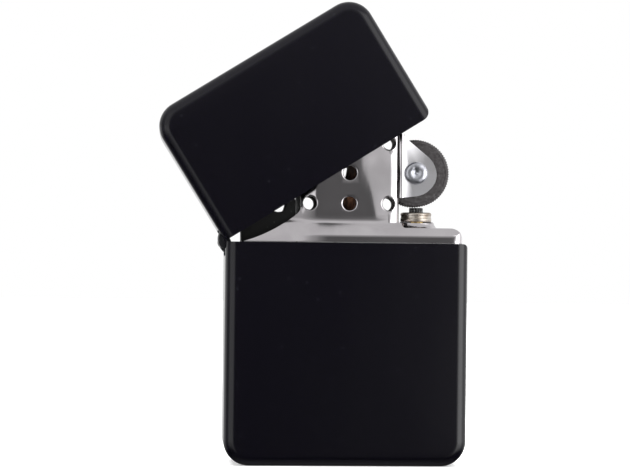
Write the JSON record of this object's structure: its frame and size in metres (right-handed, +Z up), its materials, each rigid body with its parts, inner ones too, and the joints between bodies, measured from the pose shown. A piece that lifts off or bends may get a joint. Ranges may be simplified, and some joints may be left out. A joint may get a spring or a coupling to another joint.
{
  "type": "flip-top petrol lighter",
  "caption": "Windproof flip-top petrol lighter: satin black hinged case, perforated bright insert, knurled flint wheel, cam-held lid, wick and flint tube.",
  "frame": {"origin": "centre of the flat bottom of the case, on the table", "axes": "+Z up through the chimney, +X towards the flint wheel and away from the hinge, the front face looks along -Y"},
  "size_m": [0.0485, 0.013, 0.0726],
  "materials": {
    "black_coat": "satin",
    "black_hinge": "satin",
    "pin_steel": "satin",
    "insert_steel": "satin",
    "insert_chrome": "polished",
    "wheel_steel": "matte",
    "rivet_steel": "satin",
    "tube_brass": "satin",
    "collar_brass": "satin",
    "flint_alloy": "matte",
    "spring_steel": "satin",
    "cam_steel": "satin",
    "wick_rope": "matte",
    "felt": "matte",
    "cotton": "matte"
  },
  "bodies": {
    "case": {"case_body": "black_coat", "hinge_leaf_case": "black_hinge", "hinge_pin": "black_hinge", "tank_shell": "insert_steel", "windscreen": "insert_chrome", "top_plate": "insert_steel", "wheel_rivet": "rivet_steel", "flint_tube": "tube_brass", "flint_tube_collar": "collar_brass", "flint_spring": "spring_steel", "cam_pin": "pin_steel", "cam_spring": "cam_steel", "cam_spring_rivet": "rivet_steel", "wick": "wick_rope", "felt_pad": "felt", "packing_1": "cotton", "packing_2": "cotton", "packing_3": "cotton", "packing_4": "cotton"},
    "lid": {"lid_shell": "black_coat", "hinge_leaf_lid": "black_hinge"},
    "wheel": {"flint_wheel": "wheel_steel"},
    "cam": {"cam": "cam_steel"},
    "flint": {"flint": "flint_alloy", "flint_spring_tip": "tube_brass"},
    "screw": {"flint_screw": "tube_brass"}
  },
  "joints": [
    {"name": "lid_hinge", "type": "hinge", "parent": "case", "child": "lid", "pos_m": [-0.01905, 0, 0.03475], "axis": [0, -1, 0], "range_deg": [-32, 98]},
    {"name": "wheel_spin", "type": "hinge", "parent": "case", "child": "wheel", "pos_m": [0.01095, 0, 0.04595], "axis": [0, 1, 0], "continuous": true},
    {"name": "cam_pivot", "type": "hinge", "parent": "case", "child": "cam", "pos_m": [-0.013, 0, 0.034], "axis": [0, -1, 0], "range_deg": [-2, 6]},
    {"name": "flint_travel", "type": "slide", "parent": "case", "child": "flint", "axis": [0, 0, 1], "range_m": [-0.002, 0], "stiffness_N_per_m": 150, "springref_m": 0.004, "deforming": ["flint_spring"]},
    {"name": "flint_screw_turn", "type": "hinge", "parent": "case", "child": "screw", "pos_m": [0.01135, 0, 0.0016], "axis": [0, 0, 1], "continuous": true}
  ],
  "couplings": [
    {"joint": "cam_pivot", "follows": "lid_hinge", "ratio": 0.06}
  ]
}
